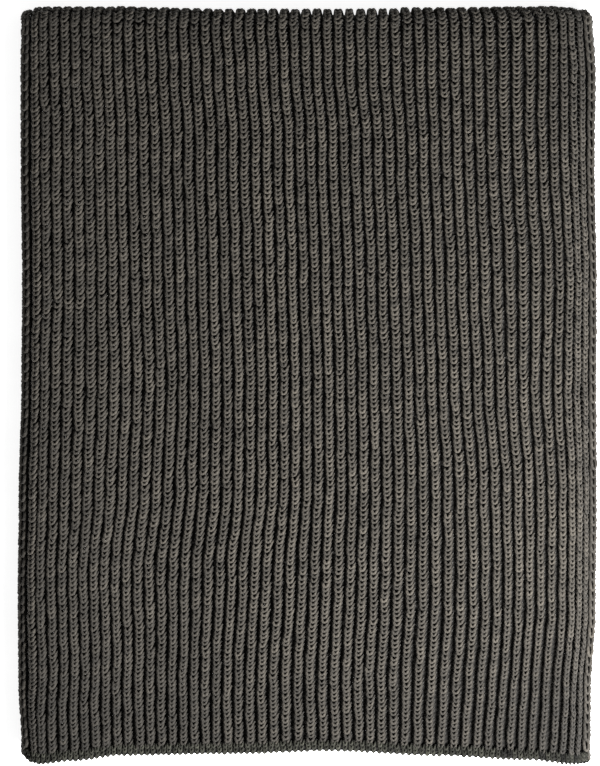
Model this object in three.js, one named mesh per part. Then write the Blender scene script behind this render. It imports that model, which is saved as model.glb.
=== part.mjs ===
// A chunky rib-knit scarf, folded in half twice and laid flat: four layers of one long strip.
// X runs across the strip, +Y points to the outer fold, +Z is up, and every size is in millimetres.

import * as THREE from 'three';

// Driving sizes.
const outlineWidth = 345;
const foldedLength = 449;
const clothThickness = 5.0;
const seamGap = 0.3;
const ribCount = 52;
const ribRelief = 2.4;
const hemDepth = 6.0;
const hemScallopsPerRib = 2;
const hemScallopHeight = 0.7;

// The top layer bends down over the sides of the stack with these radii.
const leftBendRadius = 20;
const rightBendRadius = 29;

// How many steps each grid takes.
const stretchSteps = 10;
const farTurnSteps = 7;
const nearTurnSteps = 5;
const innerLengthSteps = 8;
const coreEndAngles = [30, 55, 78];

// Sizes that follow from the driving ones.
const halfWidth = outlineWidth / 2;
const halfLength = foldedLength / 2;
const layerPitch = clothThickness + seamGap;
const stackHeight = 4 * clothThickness + 3 * seamGap;
const coreLow = layerPitch;
const coreHigh = stackHeight - layerPitch;
const farRadius = stackHeight / 2;
const farStart = halfLength - farRadius;
const tightFoldRadius = clothThickness + seamGap;

// The near ends of the lower layers lie a little behind the front hem.
const innerHemSetback = 4.0;
const nearFoldRadius = (2 * clothThickness + seamGap) / 2;
const innerEndSetback = innerHemSetback + hemDepth;

// Outline of the top layer from the front hem (along 0) to the outer fold (along 1): how far each
// side is drawn in from the widest place, and the angle in degrees to which the side bends down.
const sideRows = [
  { along: 0.00, left: 1.6, right: 3.8, leftBend: 58, rightBend: 58 },
  { along: 0.08, left: 0.4, right: 3.4, leftBend: 60, rightBend: 62 },
  { along: 0.20, left: 0.0, right: 0.6, leftBend: 60, rightBend: 65 },
  { along: 0.35, left: 0.6, right: 0.0, leftBend: 60, rightBend: 65 },
  { along: 0.50, left: 2.2, right: 0.2, leftBend: 58, rightBend: 65 },
  { along: 0.65, left: 2.6, right: 0.0, leftBend: 58, rightBend: 65 },
  { along: 0.80, left: 1.8, right: 1.2, leftBend: 58, rightBend: 62 },
  { along: 0.93, left: 1.8, right: 0.8, leftBend: 54, rightBend: 54 },
  { along: 1.00, left: 2.4, right: 1.8, leftBend: 50, rightBend: 48 },
];

// Sideways sway of the ribs: how far they lean to the right, at six places across the cloth.
const swayRows = [
  { along: 0.00, edgeLeft: -1.5, left: -3.0, midLeft: -4.0, midRight: 0.5, right: 4.0, edgeRight: 3.0 },
  { along: 0.12, edgeLeft: 1.0, left: -2.0, midLeft: -3.5, midRight: 0.0, right: 6.0, edgeRight: 4.0 },
  { along: 0.24, edgeLeft: -0.5, left: -3.5, midLeft: -2.0, midRight: 0.5, right: 5.5, edgeRight: 4.0 },
  { along: 0.36, edgeLeft: 0.5, left: 0.5, midLeft: 1.5, midRight: 1.0, right: 4.0, edgeRight: 3.5 },
  { along: 0.50, edgeLeft: 0.0, left: 1.5, midLeft: 0.5, midRight: -0.5, right: 0.0, edgeRight: 0.5 },
  { along: 0.65, edgeLeft: 1.0, left: -0.5, midLeft: -1.5, midRight: -2.5, right: -2.5, edgeRight: 1.5 },
  { along: 0.85, edgeLeft: 1.0, left: -1.0, midLeft: -2.0, midRight: -3.5, right: -3.5, edgeRight: 0.0 },
  { along: 0.93, edgeLeft: -0.5, left: -3.0, midLeft: -4.0, midRight: -6.0, right: -3.5, edgeRight: 1.0 },
  { along: 1.00, edgeLeft: -2.0, left: -4.0, midLeft: -5.0, midRight: -5.0, right: -2.0, edgeRight: 3.5 },
];
const swayPlaces = [
  { across: 0.00, name: null },
  { across: 0.06, name: 'edgeLeft' },
  { across: 0.21, name: 'left' },
  { across: 0.40, name: 'midLeft' },
  { across: 0.60, name: 'midRight' },
  { across: 0.79, name: 'right' },
  { across: 0.90, name: 'edgeRight' },
  { across: 1.00, name: null },
];

// The near edge is bowed: its middle lies further back than its corners.
const nearEdgeRows = [
  { across: 0.00, back: 2.0 },
  { across: 0.04, back: 0.6 },
  { across: 0.10, back: 2.4 },
  { across: 0.18, back: 5.6 },
  { across: 0.38, back: 6.6 },
  { across: 0.54, back: 8.2 },
  { across: 0.72, back: 5.4 },
  { across: 0.88, back: 2.8 },
  { across: 0.96, back: 0.0 },
  { across: 1.00, back: 0.8 },
];

// The hidden layers end further in along a plainer line with the same bow.
const innerEdgeRows = [
  { across: 0.12, back: 3.4 },
  { across: 0.36, back: 6.4 },
  { across: 0.54, back: 8.0 },
  { across: 0.72, back: 5.6 },
  { across: 0.88, back: 3.0 },
];

// Where a rib's outer points lie: phase across the rib, and share of the relief that is cut away.
const fullRib = [
  { phase: 0.00, cut: 1.00 },
  { phase: 0.24, cut: 0.20 },
  { phase: 0.50, cut: 0.00 },
  { phase: 0.76, cut: 0.20 },
];
const plainRib = [
  { phase: 0.00, cut: 1.00 },
  { phase: 0.28, cut: 0.06 },
  { phase: 0.72, cut: 0.06 },
];

const innerMiddles = innerEdgeRows.map((row) => outlineWidth * row.across - halfWidth);

// Rounded, layered sides of the hidden layers, from the crease between them to the flat middle:
// distance out from the end of the flat, and height, of the upper and of the lower surface.
const leftCoreSide = [
  { upperOut: 7.2, upperHigh: 10.55, lowerOut: 7.2, lowerHigh: 10.30 },
  { upperOut: 9.2, upperHigh: 11.50, lowerOut: 10.4, lowerHigh: 9.90 },
  { upperOut: 6.9, upperHigh: 13.20, lowerOut: 12.0, lowerHigh: 7.80 },
  { upperOut: 3.8, upperHigh: 14.70, lowerOut: 10.6, lowerHigh: 5.70 },
  { upperOut: 0.0, upperHigh: coreHigh, lowerOut: 8.0, lowerHigh: coreLow },
];
const rightCoreSide = [
  { upperOut: 9.5, upperHigh: 10.55, lowerOut: 9.5, lowerHigh: 10.30 },
  { upperOut: 12.2, upperHigh: 11.30, lowerOut: 12.8, lowerHigh: 9.90 },
  { upperOut: 8.6, upperHigh: 13.60, lowerOut: 15.6, lowerHigh: 7.80 },
  { upperOut: 4.4, upperHigh: 14.90, lowerOut: 14.2, lowerHigh: 5.70 },
  { upperOut: 0.0, upperHigh: coreHigh, lowerOut: 11.0, lowerHigh: coreLow },
];
// At the outer fold those sides are drawn in by this share of their width, and move in by this much.
const coreSideDrawIn = 0.9;
const coreEndInset = 18;

// Half-round sides of the bottom layer: inset from its edge, and share of the thickness cut away.
const underSide = [
  { inset: 0.0, cut: 0.46 },
  { inset: 0.8, cut: 0.13 },
  { inset: 2.6, cut: 0.00 },
];
const underLeftInset = 1.2;
const underRightInset = 6.8;

// Section of a hem, from the back of its top round the nose: distance from the nose, and depth.
const hemSection = [
  { back: hemDepth, depth: 0.5 },
  { back: 0.5 * hemDepth, depth: 0.0 },
  { back: 0.0, depth: 0.5 * clothThickness },
  { back: 0.5 * hemDepth, depth: clothThickness },
  { back: hemDepth, depth: clothThickness - 0.5 },
];

const lerp = THREE.MathUtils.lerp;
const radians = THREE.MathUtils.degToRad;

function ease(share) {
  return share * share * (3 - 2 * share);
}

// A column of a table of rows, between the rows on each side of a place.
function column(rows, key, name, place, curve = ease) {
  let next = 1;
  while (next < rows.length - 1 && rows[next][key] < place) next += 1;
  const low = rows[next - 1];
  const high = rows[next];
  const share = THREE.MathUtils.clamp((place - low[key]) / (high[key] - low[key]), 0, 1);
  return lerp(low[name], high[name], curve(share));
}

// Sideways lean of the rib that lies at a share of the width.
function sway(across, along) {
  const stops = swayPlaces.map((stop) => ({
    across: stop.across,
    lean: stop.name ? column(swayRows, 'along', stop.name, along) : 0,
  }));
  return column(stops, 'across', 'lean', across);
}

// Where the top layer's outline lies at one place along it.
function outlineAt(along) {
  const leftAngle = radians(column(sideRows, 'along', 'leftBend', along));
  const rightAngle = radians(column(sideRows, 'along', 'rightBend', along));
  const leftEdge = -halfWidth + column(sideRows, 'along', 'left', along);
  const rightEdge = halfWidth - column(sideRows, 'along', 'right', along);
  return {
    leftAngle,
    rightAngle,
    leftEdge,
    rightEdge,
    flatLeft: leftEdge + leftBendRadius * Math.sin(leftAngle),
    flatRight: rightEdge - rightBendRadius * Math.sin(rightAngle),
  };
}

// A point of the crest line across the cloth: its place, how far it has dropped, and its tilt.
function crest(across, along) {
  const outline = outlineAt(along);
  const leftArc = leftBendRadius * outline.leftAngle;
  const rightArc = rightBendRadius * outline.rightAngle;
  const flat = outline.flatRight - outline.flatLeft;
  const distance = across * (leftArc + flat + rightArc) + sway(across, along);
  if (distance < leftArc) {
    const angle = outline.leftAngle - distance / leftBendRadius;
    return {
      x: outline.flatLeft - leftBendRadius * Math.sin(angle),
      drop: leftBendRadius * (1 - Math.cos(angle)),
      tilt: -angle,
    };
  }
  if (distance > leftArc + flat) {
    const angle = (distance - leftArc - flat) / rightBendRadius;
    return {
      x: outline.flatRight + rightBendRadius * Math.sin(angle),
      drop: rightBendRadius * (1 - Math.cos(angle)),
      tilt: angle,
    };
  }
  return { x: outline.flatLeft + distance - leftArc, drop: 0, tilt: 0 };
}

// The near edge of the top layer, and the plainer one of the layers under it.
function nearEdge(x) {
  return -halfLength + column(nearEdgeRows, 'across', 'back', (x + halfWidth) / outlineWidth);
}

function innerEdge(x) {
  const straight = (share) => share;
  return -halfLength + column(innerEdgeRows, 'across', 'back', (x + halfWidth) / outlineWidth, straight);
}

// A point of the top layer, a depth below its crests and a setback behind its near edge.
function topPoint(across, along, depth, setback) {
  const spot = crest(across, along);
  const x = spot.x - depth * Math.sin(spot.tilt);
  const y = lerp(nearEdge(spot.x) + setback, farStart, along);
  return [x, y, stackHeight - spot.drop - depth * Math.cos(spot.tilt)];
}

// A point of the outer fold, which carries on from the top layer round to the bottom one.
function farPoint(across, turn, depth) {
  const spot = crest(across, 1);
  const share = turn / Math.PI;
  const outline = outlineAt(1);
  const underX = lerp(outline.leftEdge + underLeftInset, outline.rightEdge - underRightInset, across);
  const radius = Math.max((stackHeight - spot.drop) / 2, tightFoldRadius);
  const tilt = spot.tilt * (1 - share);
  return [
    lerp(spot.x, underX, ease(share)) - depth * Math.sin(tilt),
    farStart + (radius - depth * Math.cos(tilt)) * Math.sin(turn),
    radius + (radius - depth * Math.cos(tilt)) * Math.cos(turn),
  ];
}

// Closed solid between an outer grid and a plain inner grid that has one step for each
// `ratio` steps of the outer one. A grid is a list of rows, and a row is a list of points.
function shell(outer, inner, ratio) {
  const rows = outer.length;
  const outerColumns = outer[0].length;
  const innerColumns = inner[0].length;
  const outerEnd = outerColumns - 1;
  const innerEnd = innerColumns - 1;
  const innerStart = rows * outerColumns;
  const o = (row, col) => row * outerColumns + col;
  const i = (row, col) => innerStart + row * innerColumns + col;
  const faces = [];
  const quad = (a, b, c, d) => faces.push(a, b, c, a, c, d);
  for (let row = 0; row < rows - 1; row += 1) {
    for (let col = 0; col < outerColumns - 1; col += 1) {
      quad(o(row, col), o(row, col + 1), o(row + 1, col + 1), o(row + 1, col));
    }
    for (let col = 0; col < innerColumns - 1; col += 1) {
      quad(i(row, col), i(row + 1, col), i(row + 1, col + 1), i(row, col + 1));
    }
    quad(o(row, 0), o(row + 1, 0), i(row + 1, 0), i(row, 0));
    quad(o(row + 1, outerEnd), o(row, outerEnd), i(row, innerEnd), i(row + 1, innerEnd));
  }
  for (const row of [0, rows - 1]) {
    const face = (a, b, c) => (row === 0 ? faces.push(a, b, c) : faces.push(a, c, b));
    for (let col = 0; col < innerColumns - 1; col += 1) {
      const first = col * ratio;
      const middle = first + Math.ceil(ratio / 2);
      for (let step = first; step < first + ratio; step += 1) {
        face(o(row, step + 1), o(row, step), i(row, step < middle ? col : col + 1));
      }
      face(i(row, col), i(row, col + 1), o(row, middle));
    }
  }
  return solid([...outer.flat(), ...inner.flat()], faces);
}

// Closed solid through a row of closed loops that have the same number of points.
function bead(loops) {
  const count = loops[0].length;
  const faces = [];
  for (let loop = 0; loop < loops.length - 1; loop += 1) {
    for (let step = 0; step < count; step += 1) {
      const next = (step + 1) % count;
      const here = loop * count;
      const there = here + count;
      faces.push(here + step, here + next, there + next, here + step, there + next, there + step);
    }
  }
  const last = (loops.length - 1) * count;
  for (let step = 1; step < count - 1; step += 1) {
    faces.push(0, step + 1, step, last, last + step, last + step + 1);
  }
  return solid(loops.flat(), faces);
}

// Geometry from points and faces, with its faces turned outwards.
function solid(points, faces) {
  const [a, b, c] = [new THREE.Vector3(), new THREE.Vector3(), new THREE.Vector3()];
  let volume = 0;
  for (let face = 0; face < faces.length; face += 3) {
    a.fromArray(points[faces[face]]);
    b.fromArray(points[faces[face + 1]]);
    c.fromArray(points[faces[face + 2]]);
    volume += a.dot(b.cross(c));
  }
  const geometry = new THREE.BufferGeometry();
  geometry.setAttribute('position', new THREE.Float32BufferAttribute(points.flat(), 3));
  geometry.setIndex(volume < 0 ? faces.slice().reverse() : faces);
  geometry.computeVertexNormals();
  return geometry;
}

// Places across the cloth that a rib profile takes, with the share of the relief cut away there.
function ribStops(profile) {
  const stops = [];
  for (let rib = 0; rib < ribCount; rib += 1) {
    for (const point of profile) {
      stops.push({ across: (rib + point.phase) / ribCount, cut: point.cut });
    }
  }
  stops.push({ across: 1, cut: 1 });
  return stops;
}

// One inner place for each rib, with the two edge places raised so that the selvedges are round.
function innerStops() {
  const stops = [];
  for (let rib = 0; rib <= ribCount; rib += 1) {
    const atEdge = rib === 0 || rib === ribCount;
    stops.push({ across: rib / ribCount, depth: atEdge ? clothThickness - 1.3 : clothThickness });
  }
  return stops;
}

// Evenly spaced numbers from one to another.
function steps(from, to, count) {
  return Array.from({ length: count + 1 }, (unused, step) => lerp(from, to, step / count));
}

function topStretch() {
  const setback = hemDepth + seamGap;
  const rows = steps(0, 1 - seamGap / foldedLength, stretchSteps);
  const stops = ribStops(fullRib);
  const ribbed = (along) => stops.map((stop) => topPoint(stop.across, along, stop.cut * ribRelief, setback));
  const plain = (along) => innerStops().map((stop) => topPoint(stop.across, along, stop.depth, setback));
  return shell(rows.map(ribbed), rows.map(plain), fullRib.length);
}

function farTurn() {
  const rows = steps(0, Math.PI, farTurnSteps);
  const stops = ribStops(fullRib);
  // The ribs fade out where the fold comes down to the flat underside.
  const fadeStart = 0.6 * Math.PI;
  const fadeShare = (turn) => (turn - fadeStart) / (Math.PI - fadeStart);
  const relief = (turn) => ribRelief * (1 - ease(THREE.MathUtils.clamp(fadeShare(turn), 0, 1)));
  const ribbed = (turn) => {
    const cutDepth = relief(turn);
    return stops.map((stop) => farPoint(stop.across, turn, stop.cut * cutDepth));
  };
  const plain = (turn) => innerStops().map((stop) => farPoint(stop.across, turn, stop.depth));
  return shell(rows.map(ribbed), rows.map(plain), fullRib.length);
}

// Half-round fold that joins the bottom layer to the one above it, just behind the front hem.
function nearTurn() {
  const outline = outlineAt(0);
  const left = outline.leftEdge + underLeftInset + 3;
  const right = outline.rightEdge - underRightInset - 4;
  const taper = 8;
  const place = (across) => {
    const x = lerp(left, right, across);
    const toEnd = Math.min(x - left, right - x, taper) / taper;
    return { x, radius: nearFoldRadius * (0.62 + 0.38 * Math.sqrt(1 - (1 - toEnd) ** 2)) };
  };
  const back = (x) => innerEdge(x) + innerEndSetback;
  const rows = steps(0, Math.PI, nearTurnSteps);
  const stops = ribStops(plainRib);
  const outer = rows.map((turn) => stops.map((stop) => {
    const { x, radius } = place(stop.across);
    const depth = stop.cut * ribRelief * 0.5 * (1 + Math.cos(Math.max(0, 2 * turn - Math.PI)));
    return [x, back(x) - (radius - depth) * Math.sin(turn), radius + (radius - depth) * Math.cos(turn)];
  }));
  const inner = rows.map((turn) => steps(0, 1, ribCount).map((across) => {
    const { x, radius } = place(across);
    return [x, back(x), radius + 0.25 * radius * Math.cos(turn)];
  }));
  return shell(outer, inner, plainRib.length);
}

// The two hidden layers, as one solid that is rounded at the outer fold and layered at its sides.
function innerLayers() {
  const section = (along, side, drawIn) => {
    const outline = outlineAt(along);
    const flatLeft = outline.flatLeft + drawIn * coreEndInset;
    const flatRight = outline.flatRight - drawIn * coreEndInset;
    const out = `${side}Out`;
    const high = `${side}High`;
    const middle = side === 'upper' ? coreHigh : coreLow;
    return [
      ...leftCoreSide.map((row) => ({ x: flatLeft - row[out] * (1 - drawIn), z: row[high] })),
      ...innerMiddles.map((x) => ({ x, z: middle })),
      ...rightCoreSide.map((row) => ({ x: flatRight + row[out] * (1 - drawIn), z: row[high] })).reverse(),
    ];
  };
  const straight = (along, side) => section(along, side, 0).map(({ x, z }) => {
    const start = innerEdge(x) + innerEndSetback + seamGap;
    return [x, lerp(start, farStart, along), z];
  });
  const rounded = (turn, side) => {
    const drawIn = coreSideDrawIn * Math.sin(turn);
    const upper = section(1, 'upper', drawIn);
    const lower = section(1, 'lower', drawIn);
    const own = side === 'upper' ? upper : lower;
    return own.map(({ x, z }, index) => {
      const centre = (upper[index].z + lower[index].z) / 2;
      const reach = (upper[index].z - lower[index].z) / 2;
      return [x, farStart + reach * Math.sin(turn), centre + (z - centre) * Math.cos(turn)];
    });
  };
  const grid = (side) => [
    ...steps(0, 1, innerLengthSteps).map((along) => straight(along, side)),
    ...coreEndAngles.map((angle) => rounded(radians(angle), side)),
  ];
  return shell(grid('upper'), grid('lower'), 1);
}

function underStretch() {
  const section = (along, face) => {
    const outline = outlineAt(along);
    const left = outline.leftEdge + underLeftInset;
    const right = outline.rightEdge - underRightInset;
    const height = (cut) => (face === 'lower' ? cut : 1 - cut) * clothThickness;
    return [
      ...underSide.map((row) => ({ x: left + row.inset, z: height(row.cut) })),
      ...innerMiddles.map((x) => ({ x, z: height(0) })),
      ...underSide.map((row) => ({ x: right - row.inset, z: height(row.cut) })).reverse(),
    ];
  };
  const grid = (face) => steps(0, 1, innerLengthSteps).map((along) => section(along, face).map(({ x, z }) => {
    const start = innerEdge(x) + innerEndSetback + seamGap;
    return [x, lerp(start, farStart - seamGap, along), z];
  }));
  return shell(grid('lower'), grid('upper'), 1);
}

// Cast-on border of the top layer, with small scallops along its nose.
function frontHem() {
  const halfWaves = 2 * ribCount * hemScallopsPerRib;
  const loops = steps(0, 1, halfWaves).map((across, step) => {
    const tuck = step % 2 === 0 ? hemScallopHeight : 0;
    return hemSection.map((point) => {
      const setback = Math.max(point.back, tuck);
      return topPoint(across, 0, point.depth + (point.depth ? 0 : 0.5 * tuck), setback);
    });
  });
  return bead(loops);
}

// Bound-off border of the layer below, tucked in under the top layer.
function innerHem() {
  const { flatLeft, flatRight } = outlineAt(0);
  const left = flatLeft - 5;
  const right = flatRight + 7;
  const taper = 8;
  const loops = steps(0, 1, ribCount).map((across) => {
    const x = lerp(left, right, across);
    const toEnd = Math.min(x - left, right - x, taper) / taper;
    const thickness = (clothThickness - 0.5) * (0.72 + 0.28 * ease(toEnd));
    const front = innerEdge(x) + innerHemSetback;
    return hemSection.map((point) => [
      x,
      front + (point.back * (hemDepth - seamGap)) / hemDepth,
      coreLow + layerPitch + thickness * (1 - point.depth / clothThickness),
    ]);
  });
  return bead(loops);
}

// Colours of the yarn, as hexadecimal sRGB.
const ribYarn = 0x4b4843;
const hemYarn = 0x45423e;
const innerYarn = 0x423f3b;

function piece(name, geometry, colour) {
  const material = new THREE.MeshStandardMaterial({ color: colour, roughness: 0.95, metalness: 0 });
  const mesh = new THREE.Mesh(geometry, material);
  mesh.name = name;
  return mesh;
}

const scarf = new THREE.Group();
scarf.add(
  piece('front_hem', frontHem(), hemYarn),
  piece('top_stretch', topStretch(), ribYarn),
  piece('far_turn', farTurn(), ribYarn),
  piece('under_stretch', underStretch(), ribYarn),
  piece('near_turn', nearTurn(), ribYarn),
  piece('inner_layers', innerLayers(), innerYarn),
  piece('inner_hem', innerHem(), hemYarn),
);

// The origin is the middle of the footprint, on the surface that the scarf lies on.
const box = new THREE.Box3().setFromObject(scarf);
const middle = box.getCenter(new THREE.Vector3());
scarf.position.set(-middle.x, -middle.y, -box.min.z);

export default scarf;
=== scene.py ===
"""A chunky rib-knit scarf, folded in half twice and laid flat, dressed stitch by stitch.

Every stitch is a tube of yarn that lies on the folded cloth. X runs across the strip, +Y points
to the outer fold and +Z is up.
"""

import math

import bpy
import numpy as np
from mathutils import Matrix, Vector


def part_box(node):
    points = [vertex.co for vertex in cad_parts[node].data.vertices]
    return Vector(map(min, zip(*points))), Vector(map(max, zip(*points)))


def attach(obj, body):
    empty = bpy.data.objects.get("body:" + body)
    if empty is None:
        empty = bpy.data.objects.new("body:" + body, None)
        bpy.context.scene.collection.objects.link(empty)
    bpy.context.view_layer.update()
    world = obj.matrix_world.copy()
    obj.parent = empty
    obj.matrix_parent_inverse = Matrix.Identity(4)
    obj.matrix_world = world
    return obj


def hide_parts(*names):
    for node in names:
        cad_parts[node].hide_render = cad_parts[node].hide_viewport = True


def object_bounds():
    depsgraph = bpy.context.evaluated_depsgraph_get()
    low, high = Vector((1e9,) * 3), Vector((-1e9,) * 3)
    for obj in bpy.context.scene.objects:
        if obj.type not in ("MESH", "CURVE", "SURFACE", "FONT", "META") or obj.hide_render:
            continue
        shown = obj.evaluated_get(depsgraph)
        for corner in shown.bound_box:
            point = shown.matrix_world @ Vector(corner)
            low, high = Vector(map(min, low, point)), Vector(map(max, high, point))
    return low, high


bl_info = {
    "name": "Folded Rib-Knit Scarf",
    "version": (1, 0, 0),
    "blender": (4, 5, 0),
    "location": "3D View > Sidebar > Scarf",
    "description": "Builds a folded rib-knit scarf from yarn, stitch by stitch, around its solid model",
    "category": "Add Mesh",
}

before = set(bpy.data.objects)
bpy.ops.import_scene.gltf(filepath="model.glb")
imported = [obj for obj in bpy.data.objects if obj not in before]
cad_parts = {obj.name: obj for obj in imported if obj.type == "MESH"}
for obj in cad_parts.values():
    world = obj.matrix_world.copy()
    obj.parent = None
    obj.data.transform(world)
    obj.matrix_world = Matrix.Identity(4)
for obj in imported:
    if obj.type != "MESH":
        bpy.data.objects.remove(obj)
cad_low, cad_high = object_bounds()
under_low, under_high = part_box("under_stretch")
near_low, near_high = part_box("near_turn")
hem_low, hem_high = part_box("inner_hem")

MM = 0.001
BODY = "root"
SEAM = 0.3 * MM
YARN_SIDES = 5
YARN_TURNS = np.arange(YARN_SIDES) * 2 * math.pi / YARN_SIDES
TOP_PARTS = 4

# The walls behind the loops, and the bottom layer. A phase is the place of a point in a rib and
# the share of the relief cut away there.
WALL_DEPTH = 2.5 * MM
WALL_RELIEF = 2.0 * MM
WALL_PHASES = ((0.0, 1.0), (0.22, 0.6), (0.5, 0.0), (0.78, 0.6))
UNDER_RELIEF = 1.2 * MM
UNDER_PHASES = ((0.0, 1.0), (0.16, 0.3), (0.3, 0.0), (0.7, 0.0), (0.84, 0.3))
RAISED_EDGE = 0.4
EDGE_LIFT = 1.0 * MM

# The selvedges, and the inset and the loops of the chains beside the left (-1) and right (1) one.
EDGE_RADIUS = 2.3 * MM
EDGE_YARN = 0.92 * MM
EDGE_CHAINS = {
    -1: (4.5 * MM, {"spread": 0.95, "turned_up": -0.1, "shade": 0.5}),
    1: (5.0 * MM, {"spread": 0.84, "turned_up": 0.42, "shade": 0.3}),
}

# Place of a rib's line in its width, how close the lines lie, and the room, in ribs, that they
# make for the chains along the selvedges.
RIB_LINE = 0.46
RIB_CLOSE = 0.993
EDGE_ROOM = 0.12

BORDER_ROW = 2.3 * MM
BORDER_YARN = 0.66 * MM
NOSE_INSET = 0.9 * MM
INNER_HEM_SETBACK = 4.0 * MM
UNDER_LEFT_INSET = 1.2 * MM
UNDER_RIGHT_INSET = 6.8 * MM
FOLD_TAPER = 8.0 * MM
FOLD_END_RADIUS = 0.62
FOLD_INSIDE = 0.88
CORE_SIDE_DRAW_IN = 0.9
CORE_END_INSET = 18.0 * MM
CORE_END_TURNS = (30, 55, 78)

# Depths, in mm, at which yarn is painted in full light and in full painted shade, the sink, in mm, at
# which links and wraps are painted darkest, and the shares of the yarn's radius by which links and
# wraps sink into what they wrap.
LIT_DEPTH = 1.05
SHADED_DEPTH = 2.95
SUNK_DEPTH = 1.6
LINK_SINK = 0.6
WRAP_SINK = 0.85

FLOOR_HALF = 12.0
FLOOR_DROP = 0.2 * MM
LAMP_SIZE = 0.36
LAMP_PLACE = (0.47, -0.44, 0.60)
LAMP_AIM = (0.02, -0.04, 0)
CAMERA_SHIFT = (-4.5 * MM, 1.1 * MM)


# ---------------------------------------------------------------- sizes and colours to change


def measure(name, description, default, unit="LENGTH"):
    return bpy.props.FloatProperty(name=name, description=description, default=default, unit=unit)


def shade_of(name, description, default):
    return bpy.props.FloatVectorProperty(
        name=name, description=description, default=default, subtype="COLOR", size=3, min=0, max=1
    )


class ScarfSizes(bpy.types.PropertyGroup):
    """Sizes of the knitting."""

    ribs: bpy.props.IntProperty(
        name="Ribs", description="Ribs from selvedge to selvedge", default=52, min=4
    )
    side_reach: measure(
        "Side reach",
        "Distance from the middle to the widest place of the selvedges' crest line",
        cad_high.x + 1.2 * MM,
    )
    folded_length: measure("Folded length", "From the front corners to the outer fold", 0.449)
    stack_height: measure("Stack height", "Height of the four layers", cad_high.z)
    cloth_thickness: measure("Cloth thickness", "Thickness of one layer", under_high.z - under_low.z)
    row_height: measure("Row height", "Height of one row of loops", 2.79 * MM)
    close_row_height: measure("Close row height", "Height of a row beside the border", 2.5 * MM)
    yarn_radius: measure("Yarn radius", "Half the thickness of the yarn in a rib", 0.90 * MM)
    hem_depth: measure("Hem depth", "Depth of the cast-on border", 6.0 * MM)
    left_bend_radius: measure(
        "Left bend radius", "Radius with which the top layer bends down over the left side", 0.020
    )
    right_bend_radius: measure(
        "Right bend radius", "Radius with which the top layer bends down over the right side", 0.029
    )


class ScarfColours(bpy.types.PropertyGroup):
    """Colours of the yarn and the surface under it."""

    yarn_light: shade_of("Light fibres", "Lighter fibres of the yarn", (0.0535, 0.0468, 0.0372))
    yarn_dark: shade_of("Dark fibres", "Darker fibres of the yarn", (0.0140, 0.0122, 0.0094))
    border_light: shade_of(
        "Border light fibres", "Lighter fibres of the borders", (0.0385, 0.0384, 0.0300)
    )
    border_dark: shade_of(
        "Border dark fibres", "Darker fibres of the borders", (0.0075, 0.0078, 0.0058)
    )
    # inner is painted shade: a far darker yarn colour for the walls deep between the ribs, the hidden
    # layers and the bodies of the borders, where there is shade.
    inner: shade_of("Inner yarn", "Yarn deep between the ribs", (0.008, 0.0073, 0.0063))
    floor: shade_of("Floor", "Surface that the scarf lies on", (0.90, 0.90, 0.90))


class ScarfStage(bpy.types.PropertyGroup):
    """Light and camera."""

    camera_height: measure("Camera height", "Height of the camera", 2.4)
    margin: measure(
        "Margin", "Height of the picture, as a multiple of the scarf's length", 1.0065, "NONE"
    )
    key_power: measure("Key power", "Power of the large soft lamp in watts", 34.5, "NONE")
    floor_glow: measure("Floor glow", "Light that the white table gives from below", 0.87, "NONE")
    fill_strength: measure("Fill strength", "Brightness of the surroundings", 0.30, "NONE")


# ---------------------------------------------------------------- tables


def table(columns, *rows):
    """A short table as a dict of columns."""
    return dict(zip(columns.split(), np.array(rows, float).T))


def smooth(share):
    share = np.clip(share, 0, 1)
    return share * share * (3 - 2 * share)


def ease(place, start, end):
    """How far each place has come from start (0) to end (1), slowly at first and at last."""
    return smooth((place - start) / (end - start))


def around(stops, place):
    """The last stop before each place, and the eased share of the way to the next."""
    place = np.asarray(place, float)
    low = np.clip(np.searchsorted(stops, place, side="right") - 1, 0, len(stops) - 2)
    return low, ease(place, stops[low], stops[low + 1])


def read(rows, name, place):
    """A column of a table, eased between the places that its first column gives."""
    low, share = around(next(iter(rows.values())), place)
    values = rows[name]
    return values[low] + (values[low + 1] - values[low]) * share


# How far each side is drawn in from the widest place, in mm, and how far it bends down, in
# degrees, from the front hem (0) to the outer fold (1).
SIDES = table(
    "along left right left_bend right_bend",
    (0.00, 2.3, 3.8, 58, 58),
    (0.08, 0.4, 3.4, 60, 62),
    (0.20, 0.0, 0.6, 60, 65),
    (0.35, 0.6, 0.0, 60, 65),
    (0.50, 2.2, 0.2, 58, 65),
    (0.65, 2.6, 0.0, 58, 65),
    (0.80, 1.8, 1.2, 58, 62),
    (0.93, 1.8, 0.8, 54, 54),
    (1.00, 2.4, 2.8, 50, 48),
)

# How far the ribs lean to the right, in mm, at places across the cloth.
SWAY_PLACES = (0.0, 0.06, 0.21, 0.40, 0.60, 0.79, 0.90, 1.0)
SWAY = table(
    "along selvedge_left edge_left left mid_left mid_right right edge_right selvedge_right",
    (0.00, 0, -1.5, -3.0, -4.0, 0.5, 4.0, 3.0, 0),
    (0.12, 0, 1.0, -2.0, -3.5, 0.0, 6.0, 4.0, 0),
    (0.24, 0, -0.5, -3.5, -2.0, 0.5, 5.5, 4.0, 0),
    (0.36, 0, 0.5, 0.5, 1.5, 1.0, 4.0, 3.5, 0),
    (0.50, 0, 0.0, 1.5, 0.5, -0.5, 0.0, 0.5, 0),
    (0.65, 0, 1.0, -0.5, -1.5, -2.5, -2.5, 1.5, 0),
    (0.85, 0, 1.0, -1.0, -2.0, -3.5, -3.5, 0.0, 0),
    (0.93, 0, -0.5, -3.0, -4.0, -6.0, -3.5, 1.0, 0),
    (1.00, 0, -2.0, -4.0, -5.0, -5.0, -2.0, 3.5, 0),
)

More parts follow.
